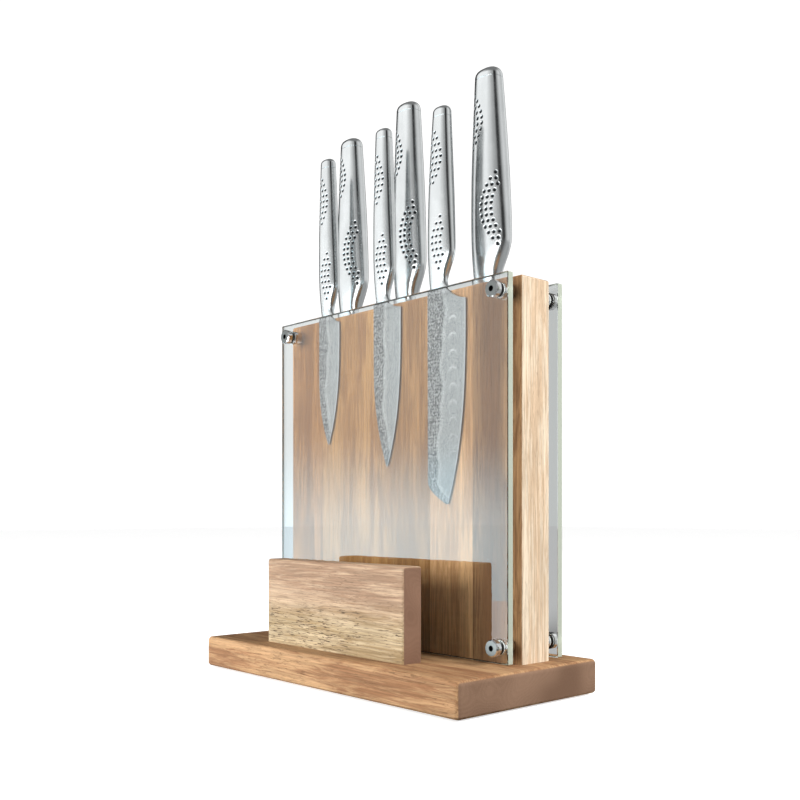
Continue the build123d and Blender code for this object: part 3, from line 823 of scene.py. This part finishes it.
def make_blade(knife, material, generator):
    """Ground blade: hammer marks by the spine, oval hollows on the santoku, scallops on the bread knife."""
    columns = int(knife.blade_width / (0.55 * MM))
    rows = int(knife.blade_length / (0.60 * MM))
    x, above_tip, back, edge = blade_grid(knife, columns, rows)
    from_edge = edge - x
    grind = np.minimum(BEVEL, (edge - back) * 0.45)
    half = knife.blade_thickness / 2 * (0.6 + 0.4 * above_tip / knife.blade_length)
    fine = EDGE_HALF_THICKNESS
    shoulder = 0.30 * half + fine
    up_the_grind = np.clip((from_edge - FINE_EDGE) / np.maximum(grind - FINE_EDGE, 1e-6), 0, 1)
    main = shoulder + (half - shoulder) * up_the_grind
    tip_edge = fine + (shoulder - fine) * np.clip(from_edge / FINE_EDGE, 0, 1)
    half = np.where(from_edge > FINE_EDGE, main, tip_edge)
    from_back = x - back
    reach = hammered_width(knife, above_tip)
    hammered = np.clip((reach - from_back) / (0.8 * MM), 0, 1) * np.ones_like(x)
    marks = jittered_dents(knife, generator)
    # How deep each hammer dent goes; the same values set the painted shade in the dents.
    dent_and_shade = np.zeros_like(x)
    for height, offset, radius in marks:
        touched = np.abs(above_tip[:, 0] - height) < 4 * radius
        if not touched.any():
            continue
        distance = np.hypot(above_tip[touched] - height, from_back[touched] - offset)
        dent_and_shade[touched] = np.maximum(dent_and_shade[touched], np.clip(1 - (distance / radius) ** 2, 0, 1))
    dent_and_shade *= hammered
    hollow = np.zeros_like(x)
    # A painted highlight along the upper rim of each hollow.
    painted_rim_light = np.zeros_like(x)
    if knife.name == "santoku":
        for step in range(HOLLOWS):
            height = knife.blade_length - FIRST_HOLLOW - HOLLOW_PITCH * step
            above = (above_tip - height) / HOLLOW_HALF_HEIGHT
            share = np.hypot(above, (x - HOLLOW_ACROSS) / HOLLOW_HALF_WIDTH)
            hollow = np.maximum(hollow, np.clip(1 - share**3, 0, 1))
            upper = np.clip(above, 0, 1)
            painted_rim_light = np.maximum(painted_rim_light, np.exp(-(((share - 0.86) / 0.16) ** 2)) * upper)
    if knife.name == "bread":
        wave = (0.5 + 0.5 * np.cos(2 * np.pi * above_tip / SCALLOP_PITCH)) ** 2
        wave = wave * np.clip(above_tip / PLAIN_BREAD_TIP, 0, 1)
        x = x - wave * SCALLOP_DEPTH * (x - back) / (edge - back + 1e-9)
    half = half - dent_and_shade * DENT_DEPTH - hollow * HOLLOW_DEPTH
    half = np.maximum(half, fine)
    z = knife.junction_z - knife.blade_length + above_tip
    x = x + knife.spine_x
    front = np.stack([x, knife.middle_y - half, z], 2)
    rear = np.stack([x, knife.middle_y + half, z], 2)[:, ::-1]
    ring = np.concatenate([front, rear], 1)
    count = ring.shape[1]
    vertices = ring.reshape(-1, 3)
    faces = tube_faces(rows, count)
    top = (rows - 1) * count
    for step in range(columns - 1):
        other = count - 1 - step
        faces.append((top + step, top + step + 1, top + other - 1, top + other))
        faces.append((step + 1, step, other, other - 1))

    def both(values):
        values = values * np.ones_like(x)
        return np.concatenate([values, values[:, ::-1]], 1).ravel()

    border = np.clip(1 - np.abs(from_back - reach - 1.6 * MM) / (2.2 * MM), 0, 1)
    ground = np.clip((FINE_EDGE * 1.1 - from_edge) / (0.3 * MM), 0, 1)
    looks = {"hammered": hammered, "dent_and_shade": dent_and_shade, "edge": ground, "border": border, "painted_rim_light": painted_rim_light * 0.6}
    attributes = [(label, both(values)) for label, values in looks.items()]
    piece = mesh_object(f"{knife.name}_steel", vertices, faces, attributes, 40.0)
    finish_piece(piece, knife, f"{knife.name}_blade", material)


knives = [
    Knife(
        "paring", blade=(98.5, 24.0, 2.0), tip=11.0, clip=(48.0, 2.0), edge_power=3.1, heel_drop=5.5,
        handle=121.6, belly=(26.2, 18.1, 12.4), butt=(12.4, 9.2), lean=0.7,
    ),
    Knife(
        "utility", blade=(118.0, 28.2, 2.0), tip=13.8, clip=(70.0, 2.0), edge_power=3.2, heel_drop=5.0,
        handle=125.8, belly=(27.1, 18.4, 13.2), butt=(12.6, 9.4), lean=1.1,
    ),
    Knife(
        "santoku", blade=(145.0, 35.1, 2.0), tip=18.7, clip=(15.5, 1.7), edge_power=3.0, heel_drop=9.0,
        handle=123.2, belly=(26.6, 21.5, 13.6), butt=(12.9, 9.6), lean=4.4,
    ),
    Knife(
        "carving", blade=(200.0, 33.0, 2.4), tip=8.0, clip=(60.0, 2.0), edge_power=3.0, heel_drop=6.0,
        handle=146.9, belly=(34.6, 29.0, 18.8), butt=(18.5, 13.4), lean=2.2,
    ),
    Knife(
        "bread", blade=(205.0, 33.0, 2.4), tip=6.0, clip=(24.0, 2.0), edge_power=8.0, heel_drop=6.0,
        handle=154.6, belly=(36.4, 27.8, 19.3), butt=(18.9, 13.8), lean=2.1,
    ),
    Knife(
        "chef", blade=(205.0, 46.0, 2.4), tip=5.0, clip=(50.0, 2.0), edge_power=2.6, heel_drop=9.0,
        handle=152.4, belly=(35.9, 29.9, 21.0), butt=(19.4, 14.4), lean=1.7,
    ),
]
grip_material = handle_steel()
blade_material = blade_steel()
generator = np.random.default_rng(7)
for knife in knives:
    make_handle(knife, grip_material)
    make_butt_cap(knife, grip_material)
    make_blade(knife, blade_material, generator)


# ---------------------------------------------------------------- floor, light and camera

# The low card in front of the clear panel: the way from the panel to it, and the way along it.
CARD_AWAY = (-0.7437, -0.6686, 0.0)
CARD_ACROSS = (0.6686, -0.7437, 0.0)
CARD_DISTANCE = 0.6
CARD_HALF_WIDTH = 0.6
CARD_TOP = 0.2423

# Degrees round from +X, and how bright the studio wall is there.
WALL = [
    (-180, 0.05), (-169, 0.07), (-160, 0.80), (-150, 1.00), (-108, 1.00), (-90, 0.72), (-60, 0.42),
    (-44, 0.34), (-34, 0.03), (-10, 0.03), (0, 0.22), (18, 0.52), (40, 0.72), (58, 0.55), (74, 0.80),
    (94, 0.80), (106, 0.20), (118, 0.05), (180, 0.05),
]


def wall_level(look, turn):
    """Brightness of the studio wall in the direction turn, in radians round from +X."""
    inputs = {"Value": turn, "From Min": -math.pi, "From Max": math.pi}
    share = look.add("ShaderNodeMapRange", inputs).outputs["Result"]
    stops = [((degrees + 180) / 360, (level, level, level)) for degrees, level in WALL]
    return look.ramp(share, stops)


FLOOR_HALF_SIZE = 6.0
FLOOR_BEHIND = 0.52
PATCH_STRENGTH = 4.6


def make_floor():
    """Large plain floor: pale to the camera, and as dim in each direction as the wall in what mirrors it.

    A brighter patch at the front left is seen only in gloss. It carries on the card's veil lower down.
    """
    look = Look("floor_pale")
    clouds = look.noise(look.place((1, 1, 1)), 3.0, 3.0, 0.5)
    sweep = look.principled({
        "Base Color": look.mix(clouds, (0.80, 0.80, 0.80, 1), (0.84, 0.84, 0.84, 1)),
        "Roughness": 0.85,
        "Specular IOR Level": 0.05,
        "Emission Color": (1.0, 1.0, 1.0, 1.0),
        "Emission Strength": 0.62,
    })
    place = look.row_position()
    turn = look.maths("ARCTAN2", place.outputs["Y"], place.outputs["X"])
    level = look.maths("ADD", look.maths("MULTIPLY", wall_level(look, turn), 0.50), 0.10)
    away = look.spread(turn, math.radians(100), math.radians(118))
    in_front = look.maths("MULTIPLY", level, look.maths("SUBTRACT", 1.0, away))
    level = look.maths("ADD", in_front, look.maths("MULTIPLY", away, FLOOR_BEHIND))
    spot = look.place((1, 1, 1))
    beside = look.spread(look.dot(spot, CARD_ACROSS), 0.04, 0.06)
    beyond = look.spread(look.dot(spot, CARD_AWAY), 0.05, 0.15)
    patch = look.maths("MULTIPLY", beside, beyond)
    path = look.add("ShaderNodeLightPath")
    mirrored = look.maths("SUBTRACT", path.outputs["Is Glossy Ray"], path.outputs["Is Transmission Ray"])
    patch = look.maths("MULTIPLY", patch, look.maths("MAXIMUM", mirrored, 0.0))
    level = look.maths("ADD", level, look.maths("MULTIPLY", patch, PATCH_STRENGTH))
    dim = look.add("ShaderNodeEmission", {"Color": (0.98, 0.99, 1.0, 1.0), "Strength": level})
    inputs = {0: path.outputs["Is Camera Ray"], 1: dim.outputs[0], 2: sweep.outputs[0]}
    look.tree.links.new(look.add("ShaderNodeMixShader", inputs).outputs[0], look.output.inputs["Surface"])
    size = FLOOR_HALF_SIZE
    corners = [(-size, -size, 0), (size, -size, 0), (size, size, 0), (-size, size, 0)]
    floor = mesh_object("floor", corners, [(0, 1, 2, 3)])
    floor.data.materials.append(look.material)


def make_world():
    """White studio: bright and dark stretches of wall round the object, and plain white for the camera."""
    world = bpy.data.worlds.new("studio")
    bpy.context.scene.world = world
    look = WorldLook(world)
    direction = look.add("ShaderNodeSeparateXYZ", {0: look.add("ShaderNodeTexCoord").outputs["Generated"]})
    turn = look.maths("ARCTAN2", direction.outputs["Y"], direction.outputs["X"])
    overhead = look.spread(direction.outputs["Z"], 0.62, 0.90)
    studio = look.mix(overhead, wall_level(look, turn), (0.20, 0.20, 0.20, 1.0))
    lit = look.add("ShaderNodeBackground", {"Color": studio, "Strength": 1.25})
    seen = look.add("ShaderNodeBackground", {"Color": (1, 1, 1, 1), "Strength": 1.1})
    behind_strength = look.spread(turn, math.radians(124), math.radians(150), 0.55, 0.78)
    behind = look.add("ShaderNodeBackground", {"Color": (0.97, 1.0, 1.0, 1), "Strength": behind_strength})
    path = look.add("ShaderNodeLightPath")
    rearward = look.spread(turn, math.radians(106), math.radians(118))
    through = look.maths("MULTIPLY", path.outputs["Is Transmission Ray"], rearward)
    unseen = look.add("ShaderNodeMixShader", {0: through, 1: lit.outputs[0], 2: behind.outputs[0]})
    inputs = {0: path.outputs["Is Camera Ray"], 1: unseen.outputs[0], 2: seen.outputs[0]}
    mixed = look.add("ShaderNodeMixShader", inputs)
    look.tree.links.new(mixed.outputs[0], look.output.inputs["Surface"])


def make_area(name, place, target, size, power, colour):
    """Soft lamp that lights surfaces but isn't itself mirrored or seen through the panels."""
    data = bpy.data.lights.new(name, "AREA")
    data.shape = "RECTANGLE"
    data.size, data.size_y = size
    data.energy = power
    data.color = colour
    lamp = bpy.data.objects.new(name, data)
    lamp.location = place
    lamp.rotation_euler = (Vector(target) - Vector(place)).to_track_quat("-Z", "Y").to_euler()
    lamp.visible_glossy = False
    lamp.visible_transmission = False
    bpy.context.scene.collection.objects.link(lamp)


def make_sweep_card():
    """Low glowing sweep at the front left, seen only in gloss: it puts the white veil on the front panel."""
    look = Look("sweep_glow")
    height = look.row_position().outputs["Z"]
    offset = look.dot(look.place((1, 1, 1)), CARD_ACROSS)
    distance_aside = look.maths("ABSOLUTE", look.maths("SUBTRACT", offset, 0.032))
    fall = look.spread(distance_aside, 0.056, 0.233, 1.0, 0.40)
    rise = look.maths("MULTIPLY", look.spread(height, 0.075, 0.237, 6.8, 0.0), fall)
    strength = look.maths("ADD", rise, 1.22)
    whiteness = look.spread(height, 0.164, 0.237)
    tint = look.mix(whiteness, (0.62, 0.88, 1.0, 1.0), (1.0, 1.0, 1.0, 1.0))
    glow = look.add("ShaderNodeEmission", {"Color": tint, "Strength": strength})
    look.tree.links.new(glow.outputs[0], look.output.inputs["Surface"])
    middle = np.array(CARD_AWAY[:2]) * CARD_DISTANCE
    sideways = np.array(CARD_ACROSS[:2]) * CARD_HALF_WIDTH
    ends = [middle - sideways, middle + sideways]
    levels = np.linspace(0.001, CARD_TOP, 14)
    corners = [(*end, level) for level in levels for end in ends]
    faces = [(2 * step, 2 * step + 1, 2 * step + 3, 2 * step + 2) for step in range(len(levels) - 1)]
    card = mesh_object("sweep_card", corners, faces)
    card.data.materials.append(look.material)
    card.visible_camera = False
    card.visible_diffuse = False
    card.visible_shadow = False
    card.visible_transmission = False


def make_camera():
    """Level camera at the front right, a little above the foot of the block."""
    data = bpy.data.cameras.new("camera")
    data.sensor_width = 36.0
    data.lens = 43.25
    data.shift_y = 0.1403
    camera = bpy.data.objects.new("camera", data)
    camera.location = (0.5138, -0.4485, 0.1187)
    camera.rotation_euler = (math.radians(90), 0, math.radians(48.04))
    bpy.context.scene.collection.objects.link(camera)
    bpy.context.scene.camera = camera


make_floor()
make_world()
make_sweep_card()
make_area("key", (1.45, 0.42, 0.95), (0.05, 0.0, 0.12), (0.6, 0.6), 39.0, (1.0, 0.98, 0.95))
make_area("front_fill", (-0.6, -1.75, 0.42), (0.0, 0.0, 0.15), (1.2, 0.8), 44.0, (1.0, 0.99, 0.97))
make_camera()
bpy.context.scene.view_settings.view_transform = "Standard"
